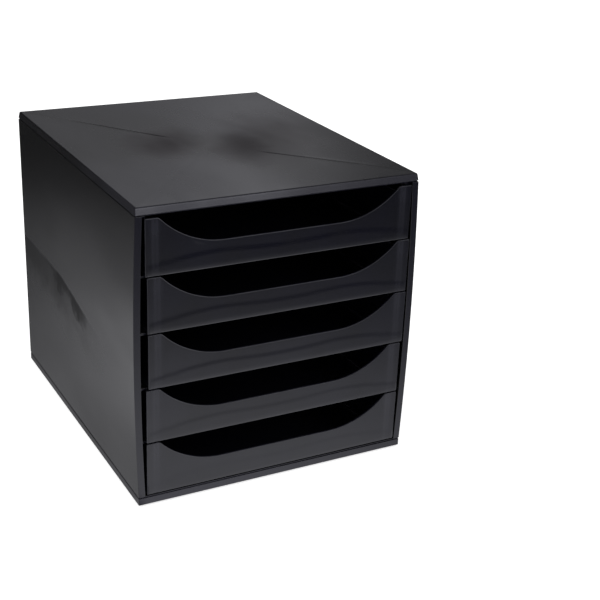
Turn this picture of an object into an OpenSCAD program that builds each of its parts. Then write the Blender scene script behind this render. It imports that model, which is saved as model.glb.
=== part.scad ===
// Desktop unit with five letter drawers in a case of five clipped panels.
// Millimetres, +Z up, +X to the right, the fronts face -Y.
// The origin is on the surface the unit stands on, below the middle of the case.

/* [Case] */
// Width of the case over the edges of its top and bottom panels
case_w = 284; // [272:1:340]
// Depth of the case from front to back
case_d = 348; // [330:1:420]
// Height of the edge around the top and bottom panels
rim_h = 8; // [7.5:0.5:12]
// Thickness of the panels' skins and edges
skin_t = 2.2; // [1.6:0.1:2.6]
// Outward bow of each side panel's front edge at mid height
side_bow = 3; // [0:0.5:5]
// Radius of the upright corners of the top and bottom panels
corner_r = 1; // [0.5:0.1:2]
// Width of the front posts, as seen from the front
post_w = 6.6; // [5.6:0.2:9]
// Thickness of the front posts from front to back
post_t = 2.4; // [1.6:0.1:4]
// Height of the stiffening ribs on the panels' inner faces
rib_h = 4; // [2:0.5:4.5]
// Thickness of the stiffening ribs
rib_t = 1.6; // [1:0.1:2]

/* [Drawers] */
// Height of a drawer's front
front_h = 53.4; // [45:0.2:70]
// Gap between one front and the next
front_gap = 1; // [0.6:0.1:3]
// Thickness of a drawer's front
front_t = 2.4; // [1.6:0.1:4]
// Radius of the corners of a drawer's front
front_r = 0.8; // [0.3:0.1:2]
// Gap between a centred front and the posts, on each side
front_play = 1.4; // [1:0.1:3]
// Gap between the bottom panel's edge and the lowest front
first_gap = 1.2; // [1:0.1:2]
// Gap between the highest front and the top panel's edge
last_gap = 2.8; // [2:0.1:6]
// Thickness of a tray's walls
wall_t = 2; // [1.4:0.1:3]
// Thickness of a tray's floor
floor_t = 2; // [1.4:0.1:3]
// Distance from the end of the front to the outside of the side wall
wall_inset = 8.3; // [6:0.1:12]
// Radius of the tray's upright back corners, outside
tray_corner_r = 6; // [3.5:0.5:12]
// How much narrower the running flange is than the front, on each side
flange_inset = 1; // [0.5:0.1:2]
// Size of the slanted corners at the flange's back end
flange_lead = 3; // [1:0.5:5]
// How far a drawer pulls out
travel = 245; // [150:5:260]

/* [Scoops] */
// Depth of the scoop below the front's top edge
scoop_depth = 27.7; // [15:0.1:32]
// Radius of the scoop's round ends
scoop_r = 85; // [60:1:95]
// Distance from the inside of the side wall to the start of the scoop
scoop_inset = 0.3; // [0:0.1:25]
// Radius that rounds the scoop into the top edge
scoop_lip_r = 6; // [2:0.5:8]

/* [Runners] */
// Width of the runner that lies under a centred drawer's flange
runner_bearing = 5; // [4:0.1:6]
// Thickness of a runner
runner_t = 2; // [1.4:0.1:2.4]
// Distance from the case's front to the front ends of the runners
runner_setback = 6; // [5:0.5:12]
// Length of the slanted lead-in at a runner's front end
runner_lead = 2.5; // [1:0.5:4]
// Distance from the case's front to the stops
stop_setback = 30; // [18:1:40]
// How far a stop hangs below its runner
stop_drop = 4.5; // [3:0.1:6]
// Length of a stop from front to back
stop_l = 3; // [2:0.5:6]

/* [Drawers at rest] */
// Where the top drawer lies between the posts, as a share of its play to the right
lean_1 = 0.66; // [-0.8:0.01:0.8]
// The same for the second drawer
lean_2 = 0.77; // [-0.8:0.01:0.8]
// The same for the third drawer
lean_3 = 0.7; // [-0.8:0.01:0.8]
// The same for the fourth drawer
lean_4 = 0.21; // [-0.8:0.01:0.8]
// The same for the bottom drawer
lean_5 = 0.34; // [-0.8:0.01:0.8]

/* [Tongues and catches] */
// Length of a tongue along the panel's edge
tongue_l = 30; // [15:1:40]
// Thickness of a tongue
tongue_t = 2; // [1.4:0.1:2.4]
// How far the tongue's catch sticks out
catch_out = 0.8; // [0.4:0.1:1]
// Height of the tongue's catch
catch_h = 1.4; // [0.8:0.1:1.6]
// Height of the socket's wall above the catch's window
socket_lip = 0.8; // [0.4:0.1:1]

/* [Feet] */
// Diameter of a foot
foot_d = 14; // [10:0.5:20]
// How far a foot stands out below the case
foot_proud = 1.5; // [0.8:0.1:4]
// Depth of the recess that a foot is stuck in
foot_recess = 1; // [0.5:0.1:1.2]
// Width of the slanted edge around a foot's sole
foot_chamfer = 0.5; // [0.2:0.1:0.7]
// Distance from the case's edges to the middle of a foot
foot_edge = 24; // [18:1:60]

/* [Clearances] */
// Gap between a drawer and its runner
run_clear = 0.3; // [0.2:0.05:0.8]
// Gap between a drawer's heels and the runner above them
heel_clear = 1; // [0.5:0.1:2]
// Gap between a tray's walls and the stops above them
stop_clear = 2; // [1:0.2:6]
// Gap between a shut drawer and the back panel's ribs
shut_clear = 0.3; // [0.2:0.1:2]
// Gap between a fully open drawer's heel and its stop
open_clear = 0.5; // [0.2:0.1:2]
// Gap between pieces that plug into each other
plug_clear = 0.2; // [0.1:0.05:0.3]

/* [Hidden] */
$fn = 64;

// Colours
case_colour = [0.16, 0.16, 0.18];
drawer_colour = [0.2, 0.2, 0.22];
foot_colour = [0.08, 0.08, 0.08];

// Overlap that joins touching shapes of one piece
weld = 0.2;
// Overshoot of a cut past the face that it opens
past = 1;
// Steps in the curve of a bowed side
bow_steps = 16;

// The drawers are numbered from the top down, and number 0 is where one more
// would stand
drawer_count = 5;
leans = [lean_1, lean_2, lean_3, lean_4, lean_5];
pitch = front_h + front_gap;
stack_h = first_gap + drawer_count * pitch - front_gap + last_gap;

// Heights
sides_z = foot_proud + rim_h;
sides_top = sides_z + stack_h;
case_top = sides_top + rim_h;
function drawer_z(number) = sides_z + first_gap + (drawer_count - number) * pitch;
function runner_top(number) = drawer_z(number) - run_clear;

// Places from side to side
side_x = -case_w / 2;
front_w = case_w - 2 * (post_w + front_play);
flange_w = front_w - 2 * flange_inset;
tray_w = front_w - 2 * wall_inset;
runner_x = side_x + post_w + front_play + flange_inset + runner_bearing;

// Places from front to back
front_y = -case_d / 2;
back_y = case_d / 2;
seat_t = skin_t;
seat_y = back_y - skin_t - plug_clear - seat_t;
tray_d = case_d - skin_t - rib_h - shut_clear;
heel_y = stop_setback + stop_l + travel + open_clear;

// Heights of a tray's walls and heels above its underside
runner_under = pitch - run_clear - runner_t;
wall_h = runner_under - stop_drop - stop_clear;
heel_h = runner_under - heel_clear;

// The tongues stand just inside the rims of the top and bottom panels, and are
// rooted in the highest and lowest runners
tongue_in = skin_t + plug_clear;
tongue_h = rim_h - tongue_in;
tongue_root = last_gap - front_gap + run_clear + weld;
socket_in = tongue_in + tongue_t + plug_clear;
catch_z = rim_h / 2;
side_tongues = [-0.33, 0, 0.33] * case_d;
back_tongues = [-0.3, 0, 0.3] * case_w;

// Bow of a side's front edge at height z
function bow_at(z) =
    let (t = (z - sides_z) / stack_h)
    4 * side_bow * t * (1 - t);

// The least play of a drawer's front to one side, over its height
function play(number) =
    front_play + min(bow_at(drawer_z(number)), bow_at(drawer_z(number) + front_h));

// --- Outlines ----------------------------------------------------------------

// A rectangle with round corners, centred on the origin
module round_rect(w, d, r) {
    square([w - 2 * r, d], center = true);
    square([w, d - 2 * r], center = true);
    for (x = [-1, 1], y = [-1, 1])
        translate([x * (w / 2 - r), y * (d / 2 - r)]) circle(r);
}

// The area between the left side's bowed front edge, moved in by the given
// amount, and the runners' inner ends, as seen from the front
module bow_area(inwards, bow, over = 0) {
    edge = [
        for (i = [0:bow_steps])
            let (t = i / bow_steps)
            [side_x + inwards - 4 * bow * t * (1 - t), sides_z + stack_h * t]
    ];
    inner_end = [[runner_x + over, sides_top + over], [runner_x + over, sides_z - over]];
    polygon(concat(edge, inner_end));
}

// A slab that stands on edge, from y to y + length, with an outline in x and z
module upright_slab(y, length) {
    translate([0, y + length, 0])
        rotate([90, 0, 0])
            linear_extrude(length) children();
}

// --- Top and bottom panels ---------------------------------------------------

// Two low ribs that cross the panel from corner to corner
module cross_ribs() {
    length = sqrt(case_w * case_w + case_d * case_d);
    edge = runner_x - side_x + plug_clear;
    linear_extrude(rib_h + weld) intersection() {
        square([case_w - 2 * edge, case_d - 2 * edge], center = true);
        for (side = [-1, 1])
            rotate(side * atan(case_d / case_w)) square([length, rib_t], center = true);
    }
}

// The wall behind a tongue, with a window for its catch. The panel's edge is
// at y = 0 and its outer face at z = 0.
module socket_wall() {
    length = tongue_l + 4 * rib_t;
    window_h = catch_h + 2 * plug_clear;
    top = catch_z + window_h / 2 + socket_lip;
    difference() {
        translate([-length / 2, socket_in, skin_t - weld]) cube([length, rib_t, top - skin_t + weld]);
        translate([-tongue_l / 2 - plug_clear, socket_in - past, catch_z - window_h / 2])
            cube([tongue_l + 2 * plug_clear, rib_t + 2 * past, window_h]);
    }
}

// A top or bottom panel that lies on its outer face
module lid() {
    difference() {
        linear_extrude(rim_h) round_rect(case_w, case_d, corner_r);
        translate([0, 0, skin_t])
            linear_extrude(rim_h) square([case_w - 2 * skin_t, case_d - 2 * skin_t], center = true);
    }
    translate([0, 0, skin_t - weld]) cross_ribs();
    for (turn = [0, 1], y = side_tongues)
        mirror([turn, 0, 0]) translate([side_x, y, 0]) rotate(-90) socket_wall();
    for (x = back_tongues)
        translate([x, back_y, 0]) rotate(180) socket_wall();
}

module top_panel() {
    color(case_colour) translate([0, 0, case_top]) mirror([0, 0, 1]) lid();
}

module bottom_panel() {
    color(case_colour) translate([0, 0, foot_proud]) difference() {
        lid();
        at_feet() translate([0, 0, -past]) cylinder(d = foot_d + 2 * plug_clear, h = foot_recess + past);
    }
}

// --- Tongues -----------------------------------------------------------------

// A tongue of a panel whose outer face is y = 0 and whose upper end is z = 0
module tongue() {
    translate([-tongue_l / 2, tongue_in, -tongue_root]) cube([tongue_l, tongue_t, tongue_root + tongue_h]);
    translate([-tongue_l / 2, skin_t - weld, -tongue_root])
        cube([tongue_l, tongue_t + weld, tongue_root - plug_clear]);
    translate([-tongue_l / 2, tongue_in + tongue_t - weld, rim_h - catch_z - catch_h / 2])
        cube([tongue_l, catch_out + weld, catch_h]);
}

// The tongues at a panel's upper and lower ends
module tongues(places) {
    for (x = places) {
        translate([x, 0, sides_top]) tongue();
        translate([x, 0, sides_z]) mirror([0, 0, 1]) tongue();
    }
}

// --- Side panels -------------------------------------------------------------

// The space between the side's outer face, moved in by the given amount, and
// the runners' inner ends
module side_space(inwards, over = 0) {
    hull() {
        upright_slab(front_y - over, post_t + over) bow_area(inwards, side_bow, over);
        upright_slab(back_y - post_t, post_t + over) bow_area(inwards, 0, over);
    }
}

// A runner's plan, with its lead-in
module runner_plan() {
    outer = side_x - side_bow;
    start = front_y + runner_setback;
    polygon([
        [outer, start],
        [runner_x - runner_lead, start],
        [runner_x, start + runner_lead],
        [runner_x, seat_y + weld],
        [outer, seat_y + weld]
    ]);
}

// A runner with its top at z
module runner(z) {
    translate([0, 0, z - runner_t]) linear_extrude(runner_t) runner_plan();
}

// The stop that hangs below a runner with its top at z
module stop(z) {
    outer = side_x - side_bow;
    translate([outer, front_y + stop_setback, z - runner_t - stop_drop])
        cube([runner_x - outer, stop_l, stop_drop + weld]);
}

// The part of the lowest runner that hangs inside the bottom panel's rim
module low_runner() {
    translate([0, 0, runner_top(drawer_count) - runner_t]) linear_extrude(runner_t)
        intersection() {
            runner_plan();
            translate([side_x + tongue_in, front_y]) square([case_w / 2, case_d]);
        }
}

// The left side panel
module side_panel() {
    color(case_colour) {
        difference() {
            side_space(0);
            difference() {
                side_space(skin_t, past);
                upright_slab(front_y - past, post_t + past) difference() {
                    bow_area(0, side_bow);
                    bow_area(post_w, side_bow, past);
                }
                upright_slab(seat_y, seat_t) bow_area(0, side_bow);
                for (number = [0:drawer_count]) runner(runner_top(number));
                for (number = [1:drawer_count]) stop(runner_top(number - 1));
            }
        }
        low_runner();
        translate([side_x, 0, 0]) rotate(-90) tongues(side_tongues);
    }
}

module left_side_panel() {
    side_panel();
}

module right_side_panel() {
    mirror([1, 0, 0]) side_panel();
}

// --- Back panel --------------------------------------------------------------

module back_panel() {
    plate_w = case_w - 2 * tongue_in;
    ribs_w = 2 * (-runner_x - plug_clear);
    rib_y = back_y - skin_t - rib_h;
    color(case_colour) {
        translate([-plate_w / 2, back_y - skin_t, sides_z + plug_clear])
            cube([plate_w, skin_t, stack_h - 2 * plug_clear]);
        for (number = [1:drawer_count])
            translate([-ribs_w / 2, rib_y, drawer_z(number) + wall_h / 2])
                cube([ribs_w, rib_h + weld, rib_t]);
        for (x = back_tongues)
            translate([x - rib_t / 2, rib_y, drawer_z(drawer_count) + wall_h / 2])
                cube([rib_t, rib_h + weld, (drawer_count - 1) * pitch]);
        translate([0, back_y, 0]) rotate(180) tongues(back_tongues);
    }
}

// --- Drawers -----------------------------------------------------------------
// A drawer stands on z = 0 with its front's face at y = 0 and its middle at x = 0.

// The outline of a front, as seen from the front: a plate less its scoop. Each
// round end of the scoop touches the flat bottom and the small round lip.
module front_outline() {
    start = front_w / 2 - wall_inset - wall_t - scoop_inset;
    rise = scoop_r - scoop_depth;
    end_x = start - sqrt(pow(scoop_r + scoop_lip_r, 2) - pow(rise + scoop_lip_r, 2));
    touch = scoop_r / (scoop_r + scoop_lip_r);
    touch_x = end_x + (start - end_x) * touch;
    touch_z = front_h + rise - (rise + scoop_lip_r) * touch;
    difference() {
        translate([0, front_h / 2]) round_rect(front_w, front_h, front_r);
        translate([-end_x, front_h - scoop_depth]) square([2 * end_x, scoop_depth + past]);
        for (side = [0, 1]) mirror([side, 0]) {
            intersection() {
                translate([end_x, front_h + rise]) circle(scoop_r, $fn = 4 * $fn);
                translate([0, front_h - scoop_depth - past])
                    square([touch_x, scoop_depth + 2 * past]);
            }
            difference() {
                polygon([
                    [touch_x - past, touch_z],
                    [touch_x, touch_z],
                    [start, front_h],
                    [start, front_h + past],
                    [touch_x - past, front_h + past]
                ]);
                translate([start, front_h - scoop_lip_r]) circle(scoop_lip_r);
            }
        }
    }
}

// A tray's plan from y = start to its back, with round back corners
module tray_plan(w, start, end, r) {
    translate([-w / 2, start]) square([w, end - r - start]);
    translate([-w / 2 + r, start]) square([w - 2 * r, end - start]);
    for (side = [-1, 1]) translate([side * (w / 2 - r), end - r]) circle(r);
}

// The walls of a tray
module tray_walls() {
    start = front_t - weld;
    linear_extrude(wall_h) difference() {
        tray_plan(tray_w, start, tray_d, tray_corner_r);
        tray_plan(tray_w - 2 * wall_t, start - past, tray_d - wall_t, tray_corner_r - wall_t);
    }
}

// The floor, which stands out past the walls as the two running flanges
module tray_floor() {
    half_w = flange_w / 2;
    start = front_t - weld;
    linear_extrude(floor_t) polygon([
        [-half_w, start],
        [half_w, start],
        [half_w, tray_d - flange_lead],
        [half_w - flange_lead, tray_d],
        [-half_w + flange_lead, tray_d],
        [-half_w, tray_d - flange_lead]
    ]);
}

// The right heel: an upright fin on the flange, closed at both ends, whose
// front meets the stop
module heel() {
    inner = tray_w / 2 - weld;
    outer = flange_w / 2;
    length = tray_d - tray_corner_r - heel_y;
    translate([inner, heel_y, 0]) linear_extrude(heel_h) difference() {
        square([outer - inner, length]);
        translate([-past, wall_t]) square([outer - inner + past - wall_t, length - 2 * wall_t]);
    }
}

module drawer(number) {
    shift = leans[number - 1] * play(number);
    color(drawer_colour) translate([shift, front_y, drawer_z(number)]) {
        upright_slab(0, front_t) front_outline();
        tray_walls();
        tray_floor();
        heel();
        mirror([1, 0, 0]) heel();
    }
}

// --- Feet --------------------------------------------------------------------

// Puts its children at one foot, or at all four
module at_feet(sides = [-1, 1], ends = [-1, 1]) {
    for (x = sides, y = ends)
        translate([x * (case_w / 2 - foot_edge), y * (case_d / 2 - foot_edge), 0]) children();
}

module foot(side, end) {
    color(foot_colour) at_feet([side], [end]) {
        cylinder(d1 = foot_d - 2 * foot_chamfer, d2 = foot_d, h = foot_chamfer);
        translate([0, 0, foot_chamfer]) cylinder(d = foot_d, h = foot_proud + foot_recess - foot_chamfer);
    }
}

// --- The pieces --------------------------------------------------------------

top_panel();
bottom_panel();
left_side_panel();
right_side_panel();
back_panel();
drawer(1);  // drawer_1
drawer(2);  // drawer_2
drawer(3);  // drawer_3
drawer(4);  // drawer_4
drawer(5);  // drawer_5
foot(-1, -1);  // foot_front_left
foot(1, -1);  // foot_front_right
foot(-1, 1);  // foot_back_left
foot(1, 1);  // foot_back_right
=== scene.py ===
import math

import bmesh
import bpy
from bpy.props import FloatProperty, FloatVectorProperty, PointerProperty
from mathutils import Matrix, Vector


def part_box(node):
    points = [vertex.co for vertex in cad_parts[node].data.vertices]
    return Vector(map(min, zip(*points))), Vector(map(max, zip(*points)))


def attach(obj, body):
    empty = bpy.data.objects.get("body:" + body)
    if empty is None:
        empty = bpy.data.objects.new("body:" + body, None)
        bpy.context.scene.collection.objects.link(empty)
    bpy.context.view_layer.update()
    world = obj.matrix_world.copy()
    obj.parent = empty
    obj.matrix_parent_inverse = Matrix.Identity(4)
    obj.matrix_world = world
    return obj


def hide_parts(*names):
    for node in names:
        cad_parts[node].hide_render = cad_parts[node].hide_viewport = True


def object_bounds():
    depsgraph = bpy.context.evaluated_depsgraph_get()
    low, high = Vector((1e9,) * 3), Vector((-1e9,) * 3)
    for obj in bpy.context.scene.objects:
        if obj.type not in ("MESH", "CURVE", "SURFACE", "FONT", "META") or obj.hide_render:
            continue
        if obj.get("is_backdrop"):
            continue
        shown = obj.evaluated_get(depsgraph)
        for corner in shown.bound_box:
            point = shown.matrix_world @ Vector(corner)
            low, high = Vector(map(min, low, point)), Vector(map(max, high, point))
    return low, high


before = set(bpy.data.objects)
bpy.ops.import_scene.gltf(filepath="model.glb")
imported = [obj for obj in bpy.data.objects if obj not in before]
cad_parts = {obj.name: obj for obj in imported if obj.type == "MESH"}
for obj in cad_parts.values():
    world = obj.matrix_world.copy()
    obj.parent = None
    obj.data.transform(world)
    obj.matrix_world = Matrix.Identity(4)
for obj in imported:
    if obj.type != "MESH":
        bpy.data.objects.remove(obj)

bl_info = {
    "name": "Letter Drawer Unit",
    "version": (1, 0, 0),
    "blender": (4, 5, 0),
    "location": "3D View > Sidebar > Letter Drawers",
    "description": "Models a desktop unit with five letter drawers around its packed frame",
    "category": "Object",
}

CASE_LOW, CASE_HIGH = (corner.copy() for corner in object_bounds())
LID_LOW, LID_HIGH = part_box("top_panel")
LID = LID_HIGH - LID_LOW
BASE_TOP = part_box("bottom_panel")[1].z
BACK_LOW, BACK_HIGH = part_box("back_panel")
TRAY_LOW, TRAY_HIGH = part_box("drawer_5")
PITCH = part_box("drawer_4")[0].z - TRAY_LOW.z
DRAWERS = ["drawer_1", "drawer_2", "drawer_3", "drawer_4", "drawer_5"]
FEET = ["foot_front_left", "foot_front_right", "foot_back_left", "foot_back_right"]

# Where the lid's mould was filled, and where the two visible lines from there end
GATE = Vector((-0.002, -0.018, 0.0))
LINE_ENDS = (Vector((LID_LOW.x, LID_HIGH.y, 0.0)), Vector((LID_HIGH.x, LID_LOW.y + 0.012, 0.0)))
# Places of the tongues, as shares of a panel's depth and width
SIDE_TONGUES, BACK_TONGUES = (-0.33, 0.0, 0.33), (-0.3, 0.0, 0.3)
# How far the parts of one moulding reach into each other, and the least such reach
WELD, HAIR = 0.0002, 0.0001
# Rounding of ribs, runners, stops, catches and heels
SLIGHT = 0.0003
CATCH_HEIGHT, CATCH_OUT, SOCKET_LIP = 0.0014, 0.0008, 0.0008
# Corners around a foot and its recess
ROUND_STEPS = 48


# --- What a user would change -------------------------------------------------


def length(name, description, default):
    """A length in metres."""
    return FloatProperty(
        name=name, description=description, default=default, min=0.0, unit="LENGTH", precision=5
    )


def colour(name, description, default):
    """A colour as light is counted, without alpha."""
    return FloatVectorProperty(
        name=name, description=description, default=default, min=0.0, max=1.0, subtype="COLOR"
    )


class CaseSizes(bpy.types.PropertyGroup):
    """Sizes of the five panels that make the case, and of their feet."""

    skin: length("Skin", "Thickness of the panels' skins and edges", 0.0022)
    bow: length("Side bow", "Outward bow of a side's front at mid height", LID_LOW.x - CASE_LOW.x)
    corner: length("Corner", "Radius of the top and bottom panels' corners", 0.001)
    post_width: length("Post width", "Width of the front posts", 0.0066)
    post_depth: length("Post depth", "Thickness of the front posts", 0.0024)
    reach: length("Runner reach", "From the case's side to the runners' inner ends", 0.014)
    seat_gap: length("Seat gap", "From the case's back to the back panel's seat", 0.0024)
    runner_thickness: length("Runner thickness", "Thickness of a runner", 0.002)
    runner_setback: length("Runner setback", "From the case's front to the runners", 0.006)
    runner_lead: length("Runner lead-in", "Slanted corner at a runner's front end", 0.0025)
    runner_clearance: length("Runner clearance", "Gap between a drawer and its runner", 0.0003)
    stop_setback: length("Stop setback", "From the case's front to the stops", 0.030)
    stop_drop: length("Stop drop", "How far a stop hangs below its runner", 0.0045)
    stop_length: length("Stop length", "Length of a stop from front to back", 0.003)
    rib_height: length("Rib height", "Height of the ribs on the panels", 0.004)
    rib_thickness: length("Rib thickness", "Thickness of those ribs", 0.0016)
    tongue_length: length("Tongue length", "Length of a tongue along its edge", 0.030)
    tongue_thickness: length("Tongue thickness", "Thickness of a tongue", 0.002)
    play: length("Play", "Gap between pieces that plug into each other", 0.0002)
    foot_diameter: length("Foot diameter", "Diameter of a rubber foot", 0.014)
    foot_recess: length("Foot recess", "Depth of the recess that a foot is stuck in", 0.001)


class DrawerSizes(bpy.types.PropertyGroup):
    """Sizes of the five drawers, which are all alike."""

    front_thickness: length("Front thickness", "Thickness of a drawer's front", 0.0024)
    front_corner: length("Front corner", "Radius of the front's corners", 0.0008)
    scoop_depth: length("Scoop depth", "Depth of the scoop below the top edge", 0.0277)
    scoop_radius: length("Scoop radius", "Radius of the scoop's round ends", 0.085)
    scoop_start: length("Scoop start", "From the middle to the start of the scoop", 0.1234)
    scoop_lip: length("Scoop lip", "Radius that rounds the scoop into the top edge", 0.006)
    wall: length("Wall", "Thickness of a tray's walls", 0.002)
    floor: length("Floor", "Thickness of a tray's floor", 0.002)
    wall_height: length("Wall height", "Height of a tray's walls", 0.0456)
    wall_inset: length("Wall inset", "From the front's end to the side wall", 0.0083)
    corner: length("Tray corner", "Radius of the tray's upright back corners", 0.006)
    flange_inset: length("Flange inset", "How far the flanges end short of the front's ends", 0.001)
    flange_lead: length("Flange lead-in", "Slanted corners at the flanges' back ends", 0.003)
    heel_length: length("Heel length", "Length of the heels that meet the stops", 0.057)
    heel_height: length("Heel height", "Height of the heels", 0.0511)


class MouldingMarks(bpy.types.PropertyGroup):
    """What the moulds leave on every piece."""

    panel_edge: length("Panel edges", "Rounding of the panels' edges", 0.0004)
    seam_groove: length("Seam groove", "Height and depth of the groove at the panels' seams", 0.0011)
    front_edge: length("Front edges", "Rounding of the edges of the fronts", 0.0007)
    lid_edge: length("Lid edge", "Rounding around the top panel's upper face", 0.0012)
    lid_draft: FloatProperty(
        name="Lid draft", description="How much the top panel's edge leans in",
        default=math.radians(11), min=0.0, subtype="ANGLE",
    )
    lid_flare: length("Lid flare", "Height of the steeper bands along that edge", 0.0009)
    fillet: length("Floor fillet", "Rounding between a tray's floor and its walls", 0.0015)
    sink: length("Sink", "Depth of the sink marks over ribs and walls", 0.00018)
    crease: length("Front crease", "Height of the arched step across a front", 0.00032)
    crease_width: length("Crease width", "Width of that step", 0.0056)
    lead: length("Front lead-in", "How much a front's bottom edge curves in", 0.0005)
    sink_spread: length("Sink spread", "Half width of a sink mark", 0.0022)
    gate: length("Gate dimple", "Depth of the dimple where the lid was filled", 0.0002)
    ejector: length("Ejector mark", "Diameter of the marks on a tray's floor", 0.008)
    ejector_height: length("Ejector mark height", "How proud those marks stand", 0.00012)


class Finish(bpy.types.PropertyGroup):
    """Colours and surface of the plastic and the rubber."""

    lid_colour: colour("Lid colour", "Black of the top and bottom panels", (0.0045, 0.0043, 0.0056))
    side_colour: colour("Side colour", "Black of the side and back panels", (0.0070, 0.0070, 0.0072))
    drawer_colour: colour("Drawer colour", "Black of the drawers", (0.0046, 0.0048, 0.0094))
    rubber_colour: colour("Rubber colour", "Black of the feet", (0.010, 0.010, 0.010))
    rubbed_colour: colour("Rubbed colour", "Plastic rubbed pale along an edge", (0.115, 0.115, 0.125))
    dust_colour: colour("Dust colour", "Fine dust on faces that look up", (0.16, 0.155, 0.15))
    roughness: FloatProperty(
        name="Roughness", description="Roughness of the satin plastic",
        default=0.24, min=0.0, max=1.0, subtype="FACTOR",
    )
    grain: length("Grain", "Size of the mould's fine grain", 0.0005)


class Studio(bpy.types.PropertyGroup):
    """Floor, light and camera."""

    floor_size: length("Floor size", "Side of the pale floor", 6.0)
    ambient: FloatProperty(
        name="Ambient", description="Strength of the even soft light", default=0.75, min=0.0
    )
    lens: FloatProperty(
        name="Lens", description="Focal length for a 36 mm frame", default=73.735, min=1.0,
        subtype="DISTANCE_CAMERA",
    )
    camera_place: FloatVectorProperty(
        name="Camera place", description="Where the camera stands",
        default=(-0.48675, -1.09913, 0.62540), subtype="TRANSLATION",
    )
    camera_turn: FloatVectorProperty(
        name="Camera turn", description="How the camera is turned",
        default=(math.radians(67.23), math.radians(-2.151), math.radians(-27.791)), subtype="EULER",
    )


def settings(context, *names):
    """The named groups of settings."""
    return [getattr(context.scene, f"desk_{name}") for name in names]


# --- Meshes -------------------------------------------------------------------


def as_mesh(name, bm):
    mesh = bpy.data.meshes.new(name)
    bm.to_mesh(mesh)
    bm.free()
    return mesh


def closed_mesh(name, bm):
    """Turns a bmesh's normals outwards and returns it as a mesh."""
    bmesh.ops.recalc_face_normals(bm, faces=bm.faces)
    return as_mesh(name, bm)


def combined(*meshes):
    """Joins closed meshes into one."""
    bm = bmesh.new()
    for mesh in meshes:
        bm.from_mesh(mesh)
    return as_mesh("combined", bm)


def skinned(rings):
    """Joins rings of points into a closed skin, with a face on the first and the last ring."""
    bm = bmesh.new()
    loops = [[bm.verts.new(point) for point in ring] for ring in rings]
    for low, high in zip(loops, loops[1:]):
        for i, vert in enumerate(low):
            after = (i + 1) % len(low)
            bm.faces.new((vert, low[after], high[after], high[i]))
    bm.faces.new(loops[0][::-1])
    bm.faces.new(loops[-1])
    bmesh.ops.recalc_face_normals(bm, faces=bm.faces)
    return bm


def soften(bm, radius, segments=3, sharper_than=30):
    """Rounds the edges that turn by more than an angle in degrees."""
    edges = [
        edge for edge in bm.edges
        if len(edge.link_faces) == 2 and edge.calc_face_angle(0.0) > math.radians(sharper_than)
    ]
    bmesh.ops.bevel(
        bm, geom=edges, offset=radius, offset_type="OFFSET", segments=segments, profile=0.5,
        affect="EDGES", clamp_overlap=True,
    )


def rounded(outline, low, high, radius, up="Z", segments=2):
    """A slab between two levels along Z, or along Y for an outline in X and Z, with round edges."""
    bm = skinned([
        [Vector((a, b, level) if up == "Z" else (a, level, b)) for a, b in outline]
        for level in (low, high)
    ])
    soften(bm, radius, segments)
    return bm


def rounded_slab(*shape):
    return closed_mesh("slab", rounded(*shape))


def rounded_box(low, high, radius=0.0002):
    (x0, y0, z0), (x1, y1, z1) = low, high
    return rounded_slab([(x0, y0), (x1, y0), (x1, y1), (x0, y1)], z0, z1, radius, "Z", 1)


def turned(name, profile, steps):
    """A round shape on the Z axis, from a profile of radius and height."""
    last = 360 - 360 / steps
    return closed_mesh(name, skinned([
        [Vector((x, y, z)) for x, y in arc(0, 0, radius, 0, last, steps - 1)]
        for radius, z in profile
    ]))


def arc(cx, cy, radius, start, end, steps):
    """Points of an arc, with its angles in degrees."""
    return [
        (cx + radius * math.cos(math.radians(a)), cy + radius * math.sin(math.radians(a)))
        for a in (start + (end - start) * i / steps for i in range(steps + 1))
    ]


def round_rect(width, depth, radius, steps=5):
    """The outline of a rectangle with round corners."""
    x, y = width / 2 - radius, depth / 2 - radius
    return [
        point
        for cx, cy, start in ((x, y, 0), (-x, y, 90), (-x, -y, 180), (x, -y, 270))
        for point in arc(cx, cy, radius, start, start + 90, steps)
    ]


def divided(outline, longest):
    """The same outline with its long sides divided."""
    points = []
    for (x0, y0), (x1, y1) in zip(outline, outline[1:] + outline[:1]):
        parts = max(1, math.ceil(math.hypot(x1 - x0, y1 - y0) / longest))
        points += [(x0 + (x1 - x0) * i / parts, y0 + (y1 - y0) * i / parts) for i in range(parts)]
    return points


def cuts_at(axis, places):
    """Cuts square to an axis, at places along it."""
    across = Vector([float(i == axis) for i in range(3)])
    return [(across * place, across) for place in places]


def score(bm, level, axis, cuts, where=None):
    """Cuts lines into the flat face at a level along an axis. A cut is a point and its normal."""
    for point, across in cuts:
        faces = [
            face for face in bm.faces
            if all(abs(vert.co[axis] - level) < 1e-6 for vert in face.verts)
            and (where is None or where(face.calc_center_median()))
        ]
        edges = {edge for face in faces for edge in face.edges}
        verts = {vert for face in faces for vert in face.verts}
        bmesh.ops.bisect_plane(
            bm, geom=[*faces, *edges, *verts], dist=1e-6, plane_co=point, plane_no=across
        )


def sink(bm, level, axis, outward, depth):
    """Moves the face at a level inwards by depth(point)."""
    for vert in bm.verts:
        if abs(vert.co[axis] - level) < 1e-6:
            vert.co[axis] -= outward * depth(vert.co)


def dip(distance, spread):
    """A smooth dip, 1 in its middle."""
    return math.exp(-((distance / spread) ** 2))


def limited(part):
    return min(1.0, max(0.0, part))


def ease(part):
    """Rises smoothly from 0 to 1."""
    part = limited(part)
    return part * part * (3 - 2 * part)


# The distances from the middle of a sink mark at which its face is scored
MARK_STEPS = (-3.0, -1.8, -1.1, -0.5, 0.0, 0.5, 1.1, 1.8, 3.0)


def mark_cuts(axis, places, spread):
    """The cuts for sink marks at places along an axis."""
    return cuts_at(axis, [place + step * spread for place in places for step in MARK_STEPS])


# --- Node trees ---------------------------------------------------------------


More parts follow.
